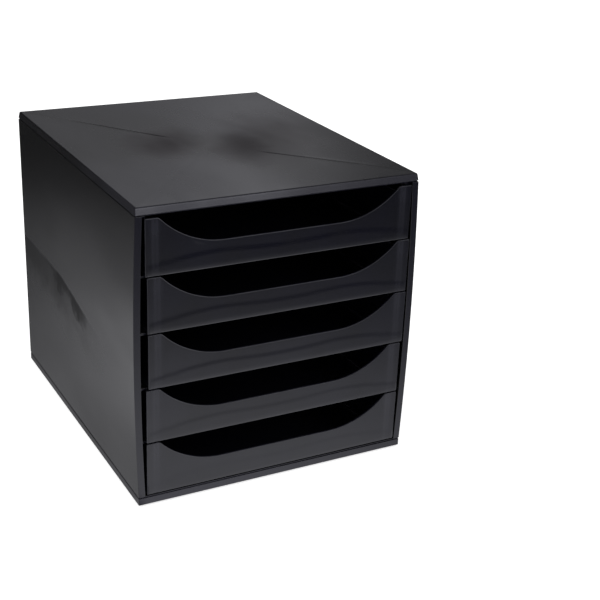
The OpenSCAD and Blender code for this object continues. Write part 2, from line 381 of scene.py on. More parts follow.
class Nodes:
    """A node tree that is built node by node."""

    def __init__(self, tree):
        self.tree = tree

    def fill(self, node, **values):
        """Sets or links inputs, each named with _ for a space, or by its number as n0, n1."""
        for key, value in values.items():
            numbered = key[0] == "n" and key[1:].isdigit()
            socket = node.inputs[int(key[1:]) if numbered else key.replace("_", " ")]
            if isinstance(value, bpy.types.NodeSocket):
                self.tree.links.new(value, socket)
            else:
                socket.default_value = value
        return node.outputs

    def add(self, kind, output=0, settings=None, **values):
        """Adds a node and returns one of its outputs."""
        node = self.tree.nodes.new(kind)
        for key, value in (settings or {}).items():
            setattr(node, key, value)
        return self.fill(node, **values)[output]

    def math(self, operation, first, second=0.0, clamp=False):
        choice = {"operation": operation, "use_clamp": clamp}
        return self.add("ShaderNodeMath", 0, choice, n0=first, n1=second)

    def plus(self, first, second):
        return self.math("ADD", first, second)

    def less(self, first, second, clamp=False):
        return self.math("SUBTRACT", first, second, clamp)

    def times(self, first, *factors, clamp=False):
        for factor in factors:
            first = self.math("MULTIPLY", first, factor, clamp)
        return first

    def vector(self, operation, output=0, **values):
        return self.add("ShaderNodeVectorMath", output, {"operation": operation}, **values)

    def apart(self, vector):
        """The X, Y and Z of a vector."""
        return self.fill(self.tree.nodes.new("ShaderNodeSeparateXYZ"), n0=vector)

    def shape(self, given):
        """The geometry of an object."""
        return self.add("GeometryNodeObjectInfo", 4, Object=given)

    def put(self, geometry=None, **at):
        """Moves geometry by X, Y and Z."""
        place = self.add("ShaderNodeCombineXYZ", **at)
        return self.add("GeometryNodeTransform", Geometry=geometry, Translation=place)

    def join(self, *parts):
        node = self.tree.nodes.new("GeometryNodeJoinGeometry")
        for part in parts:
            self.tree.links.new(part, node.inputs[0])
        return node.outputs[0]


def new_tree(name, kind, inputs, outputs):
    """An empty tree with named inputs, whose kinds are given or follow from their defaults."""
    tree = bpy.data.node_groups.new(name, f"{kind}NodeTree")
    kinds = {float: "Float", int: "Int", bool: "Bool", tuple: "Vector"}
    for label, default in inputs.items():
        plain = isinstance(default, str)
        socket = tree.interface.new_socket(
            label, in_out="INPUT",
            socket_type=f"NodeSocket{default if plain else kinds[type(default)]}",
        )
        if not plain:
            socket.default_value = default
    for label, kind in outputs.items():
        tree.interface.new_socket(label, in_out="OUTPUT", socket_type=f"NodeSocket{kind}")
    return Nodes(tree), tree.nodes.new("NodeGroupInput").outputs, tree.nodes.new("NodeGroupOutput")


def copies_at_sites(g, given):
    """Copies of the fitting at the sites, turned as each site says."""
    points = g.add("GeometryNodeMeshToPoints", Mesh=g.shape(given["Sites"]))
    named = {"data_type": "FLOAT_VECTOR"}
    turn = g.add("GeometryNodeInputNamedAttribute", 0, named, Name="turn")
    return g.add(
        "GeometryNodeInstanceOnPoints", Points=points, Instance=g.shape(given["Fitting"]),
        Rotation=g.add("FunctionNodeEulerToRotation", Euler=turn),
    )


def with_fittings(g, given):
    return g.join(given["Geometry"], copies_at_sites(g, given))


def with_recesses(g, given):
    """Cuts the copies out of the panel."""
    cutters = g.add("GeometryNodeRealizeInstances", Geometry=copies_at_sites(g, given))
    cut = {"operation": "DIFFERENCE"}
    return g.add("GeometryNodeMeshBoolean", 0, cut, n0=given["Geometry"], n1=cutters)


def with_sweep(g, given):
    """Carries a flat section along a path and rounds the path's corners."""
    path, section = (
        g.add("GeometryNodeMeshToCurve", Mesh=g.shape(given[label])) for label in ("Path", "Section")
    )
    bent = g.add(
        "GeometryNodeFilletCurve", 0, {"mode": "POLY"}, Curve=path,
        Count=given["Corner Steps"], Radius=given["Corner Radius"],
    )
    wall = g.add("GeometryNodeCurveToMesh", Curve=bent, Profile_Curve=section, Fill_Caps=True)
    return g.join(given["Geometry"], g.put(wall, Z=given["Height"]))


def bowed_side(g, given):
    """Racks the runners and stops on a flat side panel, then bows it by the panel's rule."""
    step = g.add("ShaderNodeCombineXYZ", Z=given["Pitch"])
    low = given["Lowest Runner"]
    parts = [given["Geometry"]]
    for label, start, count in (
        ("Runner", low, given["Count"]),
        ("Stop", g.plus(low, given["Pitch"]), g.less(given["Count"], 1.0)),
    ):
        first = g.add("ShaderNodeCombineXYZ", Z=start)
        line = g.add("GeometryNodeMeshLine", Count=count, Start_Location=first, Offset=step)
        copies = g.add("GeometryNodeInstanceOnPoints", Points=line, Instance=g.shape(given[label]))
        parts.append(copies)
    flat = g.add("GeometryNodeRealizeInstances", Geometry=g.join(*parts))
    x, y, z = g.apart(g.add("GeometryNodeInputPosition"))
    t = g.math("DIVIDE", g.less(z, given["Foot Of Side"]), given["Side Height"], True)
    fade = g.less(1.0, g.math("DIVIDE", g.less(y, given["Front"]), given["Depth"], True))
    bent = g.math("LESS_THAN", x, given["Fixed Beyond"])
    shift = g.times(t, g.less(1.0, t), 4.0, fade, bent, given["Bow"], -1.0)
    bowed = g.add(
        "GeometryNodeSetPosition", Geometry=flat, Offset=g.add("ShaderNodeCombineXYZ", X=shift)
    )
    turned_over = g.add("GeometryNodeTransform", Geometry=bowed, Scale=(-1.0, 1.0, 1.0))
    mirrored = g.add("GeometryNodeFlipFaces", Mesh=turned_over)
    return g.add("GeometryNodeSwitch", Switch=given["Mirrored"], n1=bowed, n2=mirrored)


def in_stack(g, given):
    """Puts a finished drawer in its place by its number from the top and its lean."""
    down = g.times(g.less(given["Number"], 1.0), given["Pitch"])
    return g.put(
        given["Geometry"], X=given["Lean"], Y=given["Front"], Z=g.less(given["Top Drawer"], down)
    )


AT_SITES = {"Sites": "Object", "Fitting": "Object"}
SHAPE_TREES = {
    "Fittings at sites": (with_fittings, AT_SITES),
    "Recesses at sites": (with_recesses, AT_SITES),
    "Swept section": (with_sweep, {
        "Path": "Object", "Section": "Object", "Corner Radius": 0.005, "Corner Steps": 6, "Height": 0.0,
    }),
    "Bowed side panel": (bowed_side, {
        "Runner": "Object", "Stop": "Object", "Count": 6, "Lowest Runner": 0.0, "Pitch": 0.0544,
        "Bow": 0.003, "Foot Of Side": 0.0, "Side Height": 0.275, "Front": -0.17, "Depth": 0.34,
        "Fixed Beyond": -0.134, "Mirrored": False,
    }),
    "Drawer in the stack": (in_stack, {
        "Number": 1, "Top Drawer": 0.2283, "Pitch": 0.0544, "Lean": 0.0, "Front": -0.174,
    }),
}


def shape_tree(name):
    """One of the SHAPE_TREES, built when it is first asked for."""
    if name in bpy.data.node_groups:
        return bpy.data.node_groups[name]
    build, inputs = SHAPE_TREES[name]
    g, given, out = new_tree(
        name, "Geometry", {"Geometry": "Geometry", **inputs, "Material": "Material"},
        {"Geometry": "Geometry"},
    )
    whole = g.add("GeometryNodeRealizeInstances", Geometry=build(g, given))
    finished = g.add("GeometryNodeSetMaterial", Geometry=whole, Material=given["Material"])
    g.fill(out, n0=finished)
    return g.tree


def in_scene(name, data):
    """A new object in the scene."""
    made = bpy.data.objects.new(name, data)
    bpy.context.scene.collection.objects.link(made)
    return made


HELPERS = []


def helper(name, mesh):
    """An object that a tree reads, and that goes when its pieces are done."""
    HELPERS.append(in_scene(name, mesh))
    return HELPERS[-1]


def clear_helpers():
    while HELPERS:
        bpy.data.objects.remove(HELPERS.pop())


def still(points):
    """Sites that aren't turned."""
    return [(point, (0, 0, 0)) for point in points]


def along(places, x=None, y=None, z=0.0, turn=(0, 0, 0)):
    """Sites in a row, where x or y is left out and takes the given places."""
    return [((p if x is None else x, p if y is None else y, z), turn) for p in places]


def sites(name, places):
    """Points with a turn each, for the fittings. A place is a point and three angles in degrees."""
    mesh = bpy.data.meshes.new(name)
    mesh.from_pydata([point for point, _ in places], [], [])
    turns = mesh.attributes.new("turn", "FLOAT_VECTOR", "POINT")
    for entry, (_, angles) in zip(turns.data, places):
        entry.vector = [math.radians(a) for a in angles]
    return helper(name, mesh)


def line_shape(name, points, closed):
    """A path in X and Y as loose edges."""
    mesh = bpy.data.meshes.new(name)
    count = len(points)
    edges = [(i, (i + 1) % count) for i in range(count if closed else count - 1)]
    mesh.from_pydata([Vector((*p, 0.0)) for p in points], edges, [])
    return helper(name, mesh)


def section_shape(name, points):
    """A section, as points to the right of the path and up, counter-clockwise."""
    return line_shape(name, [(right, -up) for right, up in reversed(points)], True)


def grown(name, mesh, *steps):
    """Runs shape trees on a mesh, one after another, and returns the plain mesh that they make."""
    made = in_scene(name, mesh)
    for tree_name, inputs in steps:
        tree = shape_tree(tree_name)
        modifier = made.modifiers.new(tree_name, "NODES")
        modifier.node_group = tree
        for item in tree.interface.items_tree:
            if item.in_out == "INPUT" and item.name in inputs:
                modifier[item.identifier] = inputs[item.name]
    depsgraph = bpy.context.evaluated_depsgraph_get()
    result = bpy.data.meshes.new_from_object(made.evaluated_get(depsgraph))
    bpy.data.objects.remove(made)
    return result


def with_fitting(places, fitting):
    """A step for grown that sets a fitting at places."""
    return "Fittings at sites", {"Sites": sites(f"{fitting.name}_sites", places), "Fitting": fitting}


# --- Finished pieces ----------------------------------------------------------

# A slanting face is a rounded edge when its shortest side is under this
EDGE_FACE = 0.0009


def mark_edges(mesh):
    """Marks the rounded edges, for the material's wear."""
    marks = mesh.attributes.new("rounded_edge", "FLOAT", "FACE")
    for face in mesh.polygons:
        slant = 1.0 - max(abs(c) for c in face.normal)
        corners = [mesh.vertices[i].co for i in face.vertices]
        narrowest = min((a - b).length for a, b in zip(corners, corners[1:] + corners[:1]))
        marks.data[face.index].value = 1.0 if slant > 0.01 and narrowest < EDGE_FACE else 0.0


def piece(name, mesh, material, body, nodes):
    """Shows a mesh as a piece of the object, in place of its CAD nodes."""
    mesh.name = name
    mesh.materials.clear()
    mesh.materials.append(material)
    mark_edges(mesh)
    for face in mesh.polygons:
        face.use_smooth = True
    mesh.set_sharp_from_angle(angle=math.radians(32))
    made = in_scene(name, mesh)
    weighted = made.modifiers.new("Even shading", "WEIGHTED_NORMAL")
    weighted.keep_sharp = True
    weighted.weight = 80
    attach(made, body)
    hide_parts(*nodes)


# --- Parts of the case --------------------------------------------------------


def tongue_mesh(case):
    """A tongue with its catch. The panel's outer face is y = 0 and its upper end z = 0."""
    rim, inset = LID.z, case.skin + case.play
    half, root, face = case.tongue_length / 2, inset - HAIR, inset + case.tongue_thickness
    catch_low = (rim - CATCH_HEIGHT) / 2
    return combined(
        rounded_box((-half, inset, -root), (half, face, rim - inset)),
        rounded_box((-half, case.skin - WELD, -root), (half, face - WELD, -case.play)),
        rounded_box(
            (-half, face - WELD, catch_low), (half, face + CATCH_OUT, catch_low + CATCH_HEIGHT), SLIGHT
        ),
    )


def socket_mesh(case):
    """The wall behind a tongue, with a window for its catch. The panel's edge is y = 0."""
    near = case.skin + case.tongue_thickness + 2 * case.play
    far = near + case.rib_thickness
    half, window = case.tongue_length / 2, CATCH_HEIGHT / 2 + case.play
    sill, head = LID.z / 2 - window, LID.z / 2 + window
    end, jamb = half + 2 * case.rib_thickness, half + case.play
    bars = [
        ((-end, head), (end, LID.z - case.skin + WELD)), ((-end, sill - SOCKET_LIP), (end, sill)),
        ((-end, sill - HAIR), (-jamb, head + HAIR)), ((jamb, sill - HAIR), (end, head + HAIR)),
    ]
    return combined(*(rounded_box((a, near, b), (c, far, d)) for (a, b), (c, d) in bars))


# How much more the steeper bands along a lid's edge lean in
STEEPER = math.radians(5)


def lid_mesh(case, marks, edge, draft=0.0):
    """The shell of a top or bottom panel, its outer face up, with a groove at the seam."""
    rim, groove, skin = LID.z, marks.seam_groove, case.skin
    turn_in = 4 * HAIR
    flare, low, high = marks.lid_flare, groove + turn_in, rim - edge
    steep = math.tan(draft + STEEPER) if draft else 0.0
    lean = (high - low - 2 * flare) * math.tan(draft) + 2 * flare * steep
    profile = [
        (skin, rim - skin), (skin, HAIR), (skin - HAIR, 0.0), (groove + HAIR, 0.0),
        (groove, HAIR), (groove, groove),
    ]
    profile += [
        (turn_in * (1 - math.cos(a)), groove + turn_in * (1 - math.sin(a)))
        for a in (math.radians(60 - 20 * i) for i in range(4))
    ]
    if draft:
        profile += [(flare * steep, low + flare), (lean - flare * steep, high - flare)]
    profile += [
        (lean + edge * (1 - math.cos(a)), high + edge * math.sin(a))
        for a in (math.radians(15 * i) for i in range(7))
    ]
    return closed_mesh("lid", skinned([
        [
            Vector((x, y, z))
            for x, y in round_rect(LID.x - 2 * inset, LID.y - 2 * inset, max(case.corner - inset, HAIR))
        ]
        for inset, z in profile
    ]))


def lid_with_ribs(case, marks, edge, draft=0.0):
    """A lid's shell with its crossed ribs and its sockets."""
    slope = math.degrees(math.atan2(LID.y, LID.x))
    rib_end = LID.x / 2 - case.reach - case.play
    half = rib_end / math.cos(math.radians(slope)) - case.rib_thickness
    thick, underside = case.rib_thickness / 2, LID.z - case.skin
    rib = helper("crossed_rib", rounded_box(
        (-half, -thick, underside - case.rib_height), (half, thick, underside + WELD), SLIGHT
    ))
    side_row = [part * LID.y for part in SIDE_TONGUES]
    back_row = [part * LID.x for part in BACK_TONGUES]
    return grown(
        "lid", lid_mesh(case, marks, edge, draft),
        with_fitting([((0, 0, 0), (0, 0, slope)), ((0, 0, 0), (0, 0, -slope))], rib),
        with_fitting([
            *along(side_row, x=-LID.x / 2, turn=(0, 0, -90)),
            *along(side_row, x=LID.x / 2, turn=(0, 0, 90)),
            *along(back_row, y=LID.y / 2, turn=(0, 0, 180)),
        ], helper("socket", socket_mesh(case))),
    )


# The lid's lines from the gate: how deep the visible and the faint ones are, where they begin
# and where they fade, with the lengths of both changes, and how much is left of them at the end
VISIBLE_LINE, FAINT_LINE, LINE_LEFT = 1.4, 0.2, 0.2
LINE_BEGINS, LINE_GROWS, LINE_FADES, LINE_FADING = 0.035, 0.035, 0.14, 0.045
# The lid's edge that has no marks, how far they grow from there, and the radius of the dimple
PLAIN_EDGE, EDGE_FADE, DIMPLE = 0.006, 0.03, 0.02
# Where the lid's face is scored, from its middle to both sides, and to the front and the back
LID_CUTS = ((0.012, 0.03, 0.06, 0.1), (0.012, 0.03, 0.08, 0.13))
# How much wider the lid's lines, and how much deeper the back's, are than other sink marks
LID_WIDER, BACK_DEEPER = 1.3, 1.3


def lid_lines():
    """The directions along and across the lid's lines, from the gate, and how deep each is."""
    faint = (Vector((LID_LOW.x, LID_LOW.y, 0.0)), Vector((LID_HIGH.x, LID_HIGH.y, 0.0)))
    ends = [(end, VISIBLE_LINE) for end in LINE_ENDS] + [(end, FAINT_LINE) for end in faint]
    for end, strength in ends:
        forward = (end - GATE).normalized()
        yield forward, Vector((-forward.y, forward.x, 0.0)), strength


def crossed_sinks(mesh, marks):
    """Sinks the outer face along lines from the gate, and a little around the gate itself."""
    bm = bmesh.new()
    bm.from_mesh(mesh)
    spread = LID_WIDER * marks.sink_spread
    lines = list(lid_lines())
    cuts = [(GATE + normal * step * spread, normal) for _, normal, _ in lines for step in MARK_STEPS]
    for axis, halves in enumerate(LID_CUTS):
        cuts += cuts_at(axis, [*(-half for half in halves[::-1]), 0.0, *halves])
    score(bm, LID.z, 2, cuts)

    def depth_at(point):
        inside = min(LID.x / 2 - abs(point.x), LID.y / 2 - abs(point.y))
        away = Vector((point.x, point.y, 0.0)) - GATE
        deepest = 0.0
        for forward, normal, strength in lines:
            run = away.dot(forward)
            fading = (1 - LINE_LEFT) * ease((run - LINE_FADES) / LINE_FADING)
            visible = ease((run - LINE_BEGINS) / LINE_GROWS) * (1 - fading)
            deepest = max(deepest, strength * visible * dip(away.dot(normal), spread))
        edge_fade = ease((inside - PLAIN_EDGE) / EDGE_FADE)
        return edge_fade * marks.sink * deepest + marks.gate * dip(away.length, DIMPLE)

    sink(bm, LID.z, 2, 1, depth_at)
    return closed_mesh("lid", bm)


def foot_middles():
    """The middles of the feet, in X and Y."""
    return [(low + high) / 2 for low, high in (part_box(foot) for foot in FEET)]


class DESK_OT_lids(bpy.types.Operator):
    """Make the top and bottom panels with their crossed ribs and sockets"""

    bl_idname = "desk.make_lids"
    bl_label = "Top and Bottom Panels"

    def execute(self, context):
        case, marks, finish = settings(context, "case", "marks", "finish")
        plastic = satin_plastic("lid", finish)
        mesh = crossed_sinks(lid_with_ribs(case, marks, marks.lid_edge, marks.lid_draft), marks)
        mesh.transform(Matrix.Translation((0, 0, LID_LOW.z)))
        piece("case_top", mesh, plastic, "case", ["top_panel"])

        radius, above = case.foot_diameter / 2 + case.play, 0.001
        cutter = turned("recess", [(radius, -case.foot_recess), (radius, above)], ROUND_STEPS)
        recesses = sites("recesses", still((p.x, p.y, LID.z) for p in foot_middles()))
        mesh = grown("base", lid_with_ribs(case, marks, marks.panel_edge), (
            "Recesses at sites", {"Sites": recesses, "Fitting": helper("recess", cutter)},
        ))
        mesh.transform(Matrix.Translation((0, 0, BASE_TOP)) @ Matrix.Diagonal((1, 1, -1, 1)))
        mesh.flip_normals()
        piece("case_bottom", mesh, plastic, "case", ["bottom_panel"])
        clear_helpers()
        return {"FINISHED"}


# Rows of a flat side that can bend, the longest step around its outline, and how much of a
# runner's inner end, up to its slanted corner, the bow leaves alone
SIDE_ROWS, SIDE_STEP, RUNNER_STILL = 22, 0.024, 0.003


def side_shell(case, marks, seat):
    """A flat left side in rows that can bend, with its posts, and its seat for the back panel."""
    left, front, back = LID_LOW.x, LID_LOW.y, LID_HIGH.y
    inner, post_back = left + case.skin, front + case.post_depth
    outline = divided([
        (left, front), (left + case.post_width, front), (left + case.post_width, post_back),
        (inner, post_back), (inner, seat - case.skin), (left + case.reach, seat - case.skin),
        (left + case.reach, seat), (inner, seat), (inner, back), (left, back),
    ], SIDE_STEP)
    bm = skinned([
        [Vector((x, y, BASE_TOP + (LID_LOW.z - BASE_TOP) * row / SIDE_ROWS)) for x, y in outline]
        for row in range(SIDE_ROWS + 1)
    ])
    soften(bm, marks.panel_edge, sharper_than=60)
    return closed_mesh("side", bm)


class DESK_OT_sides(bpy.types.Operator):
    """Make the two bowed side panels with their posts, runners and stops"""

    bl_idname = "desk.make_sides"
    bl_label = "Side Panels"

    def execute(self, context):
        case, marks, finish = settings(context, "case", "marks", "finish")
        left, front, back = LID_LOW.x, LID_LOW.y, LID_HIGH.y
        low, high, seat = BASE_TOP, LID_LOW.z, back - case.seat_gap
        shell = side_shell(case, marks, seat)
        rooted, reach = left + case.skin - 2 * WELD, left + case.reach
        start, end, lead = front + case.runner_setback, seat - case.skin + WELD, case.runner_lead
        under, stop_front = -case.runner_thickness, front + case.stop_setback
        runner = helper("runner", rounded_slab([
            (rooted, start), (reach - lead, start), (reach, start + lead), (reach, end), (rooted, end)
        ], under, 0.0, SLIGHT))
        stop = helper("stop", rounded_box(
            (rooted, stop_front, under - case.stop_drop),
            (reach, stop_front + case.stop_length, under + WELD), SLIGHT,
        ))
        rows = [part * (back - front) for part in SIDE_TONGUES]
        tongues = with_fitting([
            *along(rows, x=left, z=high, turn=(0, 0, -90)),
            *along(rows, x=left, z=low, turn=(0, 180, -90)),
        ], helper("tongue", tongue_mesh(case)))
        for name, mirrored in (("left", False), ("right", True)):
            mesh = grown(name, shell.copy(), tongues, ("Bowed side panel", {
                "Runner": runner, "Stop": stop, "Count": len(DRAWERS) + 1, "Pitch": PITCH,
                "Lowest Runner": TRAY_LOW.z - case.runner_clearance, "Bow": case.bow,
                "Foot Of Side": low, "Side Height": high - low, "Front": front + case.post_depth,
                "Depth": back - front - 2 * case.post_depth,
                "Fixed Beyond": reach - lead - RUNNER_STILL, "Mirrored": mirrored,
            }))
            plastic, node = satin_plastic("side", finish), f"{name}_side_panel"
            piece(f"case_side_{name}", mesh, plastic, "case", [node])
        clear_helpers()
        return {"FINISHED"}


class DESK_OT_back(bpy.types.Operator):
    """Make the ribbed back panel"""

    bl_idname = "desk.make_back"
    bl_label = "Back Panel"

    def execute(self, context):
        case, drawer, marks, finish = settings(context, "case", "drawer", "marks", "finish")
        outer, ribs_at, half = BACK_HIGH.y, BACK_LOW.y, BACK_HIGH.x
        low, high = BASE_TOP + case.play, LID_LOW.z - case.play
        rib_half = -(LID_LOW.x + case.reach + case.play)
        into, thick = outer - case.skin + WELD, case.rib_thickness
        levels = [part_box(name)[0].z + drawer.wall_height / 2 for name in DRAWERS]
        uprights = [part * LID.x for part in BACK_TONGUES]
        level = rounded_box((-rib_half, ribs_at, 0.0), (rib_half, into, thick), SLIGHT)
        upright = rounded_box(
            (-thick / 2, ribs_at + HAIR, 0.0), (thick / 2, into, levels[0] - levels[-1]), SLIGHT
        )
        mesh = grown(
            "back",
            rounded_slab(
                [(-half, low), (half, low), (half, high), (-half, high)],
                outer - case.skin, outer, marks.panel_edge, "Y",
            ),
            with_fitting(still((0, 0, z) for z in levels), helper("level_rib", level)),
            with_fitting(along(uprights, y=0.0, z=levels[-1]), helper("upright_rib", upright)),
            with_fitting([
                *along(uprights, y=outer, z=LID_LOW.z, turn=(0, 0, 180)),
                *along(uprights, y=outer, z=BASE_TOP, turn=(0, 180, 180)),
            ], helper("tongue", tongue_mesh(case))),
        )
        clear_helpers()

        bm = bmesh.new()
        bm.from_mesh(mesh)
        middles, spread = [z + thick / 2 for z in levels], marks.sink_spread
        score(bm, outer, 1, mark_cuts(2, middles, spread) + mark_cuts(0, uprights, spread))

        def depth_at(point):
            end_fade = limited((rib_half - abs(point.x)) / 0.01)
            dips = [end_fade * dip(point.z - z, spread) for z in middles]
            if middles[-1] < point.z < middles[0]:
                dips += [dip(point.x - x, spread) for x in uprights]
            return BACK_DEEPER * marks.sink * max(dips)

        sink(bm, outer, 1, 1, depth_at)
        plastic = satin_plastic("side", finish)
        piece("case_back", closed_mesh("back", bm), plastic, "case", ["back_panel"])
        return {"FINISHED"}


# A foot from the middle of its underside: each point's share of the radius, what is taken off
# that, and its height, and then the rounding of its top edge
FOOT_PROFILE = (
    (0.5, 0.0, 0.0003), (0.56, 0.0, 0.0001), (0.6, 0.0, 0.0), (1.0, 0.0006, 0.0),
    (1.0, 0.0003, 0.0001), (1.0, 0.0001, 0.0003), (1.0, 0.0, 0.0006),
)
FOOT_EDGE = 0.0002


class DESK_OT_feet(bpy.types.Operator):
    """Make the four round rubber feet"""

    bl_idname = "desk.make_feet"
    bl_label = "Rubber Feet"

    def execute(self, context):
        case, finish = settings(context, "case", "finish")
        radius, top = case.foot_diameter / 2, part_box(FEET[0])[1].z
        pad = helper("pad", turned("pad", [
            *((share * radius - less, height) for share, less, height in FOOT_PROFILE),
            (radius, top - FOOT_EDGE), (radius - FOOT_EDGE, top),
        ], ROUND_STEPS))
        feet = with_fitting(still((p.x, p.y, 0.0) for p in foot_middles()), pad)
        mesh = grown("feet", bpy.data.meshes.new("none"), feet)
        piece("rubber_feet", mesh, rubber(finish), "case", FEET)
        clear_helpers()
        return {"FINISHED"}


# --- Parts of the drawers -----------------------------------------------------

# The arched step across a front: its height in the middle, how much higher and how far out its
# two shoulders are, how broad they are, and how far its ends drop, from where and over what length
ARCH_HEIGHT, SHOULDER_RISE, SHOULDER_PLACE, SHOULDER_SPREAD = 0.0135, 0.0026, 0.063, 0.030
END_DROP, END_START, END_LENGTH = 0.0045, 0.09, 0.045
# Everything of that step lies below this height, on a grid of this width and height, and it
# fades at the front's ends
CREASE_TOP, GRID_WIDTH, GRID_HEIGHT, END_FADE = 0.020, 0.006, 0.001, 0.004
# Painted highlight over a tray's side wall, where its sink mark catches the light: two streaks this far
# beside the wall's middle and this wide, which grow paler from the bottom edge up, and a glint this far
# below the top edge, of this half width and half height
STREAK_OFF, STREAK_WIDTH, STREAK_PALE, STREAK_PALER = 0.0018, 0.0016, 0.45, 0.65
GLINT_DOWN, GLINT_WIDTH, GLINT_HEIGHT, GLINT_PALE, GLINT_STEP = 0.009, 0.0045, 0.005, 0.5, 0.0025
# Height over which a front's bottom edge curves in
LEAD_HEIGHT = 0.0048


def front_outline(drawer, width, height):
    """The outline of a front in X and Z, with the scoop in its top edge."""
    start, lip, big = drawer.scoop_start, drawer.scoop_lip, drawer.scoop_radius
    rise = big - drawer.scoop_depth
    flat = start - math.sqrt((big + lip) ** 2 - (rise + lip) ** 2)
    lean = math.degrees(math.atan2(rise + lip, start - flat))
    right = arc(start, height - lip, lip, 90, 180 - lean, 6)
    right += arc(flat, height + rise, big, -lean, -90, 20)[1:]
    left = [(-x, z) for x, z in reversed(right)]
    r = drawer.front_corner
    x, z = width / 2 - r, height - r
    return [
        *arc(-x, r, r, 180, 270, 3), *arc(x, r, r, 270, 360, 3), *arc(x, z, r, 0, 90, 3),
        *right, *left, *arc(-x, z, r, 90, 180, 3),
    ]


def arch_height(x):
    """Height of the step that the plastic leaves where it flows around the scoop."""
    shoulder = SHOULDER_RISE * dip(abs(x) - SHOULDER_PLACE, SHOULDER_SPREAD)
    return ARCH_HEIGHT + shoulder - END_DROP * ease((abs(x) - END_START) / END_LENGTH)


def front_mesh(drawer, marks, width, height, wall_middle):
    """A front, sunk where the side walls stand behind it and painted paler there as a highlight, with
    the arched step.
    """
    thick, spread, glint_level = drawer.front_thickness, marks.sink_spread, height - GLINT_DOWN
    bm = rounded(front_outline(drawer, width, height), 0.0, thick, marks.front_edge, "Y", 3)
    walls = [side * (wall_middle + step * spread) for side in (-1, 1) for step in MARK_STEPS]
    score(bm, 0.0, 1, cuts_at(2, [CREASE_TOP]) + cuts_at(0, walls))
    columns = [GRID_WIDTH * i for i in range(-18, 19)]
    rows = [GRID_HEIGHT * i for i in range(1, 19)]
    score(
        bm, 0.0, 1, cuts_at(0, columns) + cuts_at(2, rows), lambda middle: middle.z < CREASE_TOP
    )
    score(
        bm, 0.0, 1, cuts_at(2, [glint_level + GLINT_STEP * i for i in range(-4, 4)]),
        lambda middle: abs(abs(middle.x) - wall_middle) < 3 * spread and middle.z > CREASE_TOP,
    )
    # The pale attribute is painted highlight: lighter streaks and a glint over the side walls
    pale = bm.verts.layers.float.new("pale")
    for vert in bm.verts:
        x, y, z = vert.co
        if y < thick / 2:
            from_wall = abs(x) - wall_middle
            streaks = sum(dip(from_wall - off, STREAK_WIDTH) for off in (STREAK_OFF, -STREAK_OFF))
            glint = GLINT_PALE * dip(from_wall, GLINT_WIDTH) * dip(z - glint_level, GLINT_HEIGHT)
            vert[pale] = min(1.0, streaks * (STREAK_PALE + STREAK_PALER * z / height) + glint)

    def depth_at(point):
        end_fade = limited((width / 2 - abs(point.x)) / END_FADE)
        above = ease((point.z - arch_height(point.x)) / marks.crease_width + 0.5)
        wall_sink = marks.sink * dip(abs(point.x) - wall_middle, spread)
        return wall_sink + marks.crease * end_fade * above

    sink(bm, 0.0, 1, -1, depth_at)
    for vert in bm.verts:
        low = max(0.0, 1 - vert.co.z / LEAD_HEIGHT)
        vert.co.y += marks.lead * low * low * (1 - vert.co.y / thick)
    return closed_mesh("front", bm)


def heel_mesh(drawer, inner, outer, end, side):
    """A heel: an upright fin that is open towards the tray's wall."""
    start, wall = end - drawer.heel_length, drawer.wall
    outline = [
        (inner, start), (outer, start), (outer, end), (inner, end), (inner, end - wall),
        (outer - wall, end - wall), (outer - wall, start + wall), (inner, start + wall),
    ]
    low = drawer.floor / 4
    return rounded_slab([(side * x, y) for x, y in outline], low, drawer.heel_height, SLIGHT)


def u_path(name, half, front, back, closed=False):
    """A path back along the left, across and forward along the right."""
    return line_shape(name, [(-half, front), (-half, back), (half, back), (half, front)], closed)


# Where the ejector pins left their marks on a tray's floor, in X and in Y
PIN_COLUMNS, PIN_ROWS = (-0.085, 0.0, 0.085), (0.045, 0.13, 0.215, 0.3)


def tray_steps(drawer, marks, wall_middle, start, depth):
    """The steps for grown that add a tray's walls, floor fillet and ejector marks."""
    half, foot, round_top = drawer.wall / 2, drawer.floor / 4, 0.0005
    side, crown, behind = half - round_top, drawer.wall_height - round_top, -0.0003
    wall = section_shape("wall_section", [
        (-half, foot), (half, foot), *arc(side, crown, round_top, 0, 90, 3),
        *arc(-side, crown, round_top, 90, 180, 3),
    ])
    fillet, inside = marks.fillet, wall_middle - half
    corner = section_shape("fillet_section", [
        (behind, behind), (fillet, behind), *arc(fillet, fillet, fillet, 270, 180, 5),
        (behind, fillet),
    ])
    sweeps = [
        {
            "Path": u_path("wall_path", wall_middle, start, depth - half), "Section": wall,
            "Corner Radius": drawer.corner - half,
        },
        {
            "Path": u_path(
                "fillet_path", inside, drawer.front_thickness, depth - drawer.wall, closed=True
            ),
            "Section": corner, "Corner Radius": drawer.corner - drawer.wall, "Height": drawer.floor,
        },
    ]
    radius, flat, root, proud = marks.ejector / 2, 0.487 * marks.ejector, 0.0005, marks.ejector_height
    disc = turned("disc", [(radius, -root), (radius, proud / 2), (flat, proud)], ROUND_STEPS // 2)
    pins = still((x, y, drawer.floor) for x in PIN_COLUMNS for y in PIN_ROWS)
    return [
        *(("Swept section", {**sweep, "Corner Steps": 6}) for sweep in sweeps),
        with_fitting(pins, helper("ejector_disc", disc)),
    ]


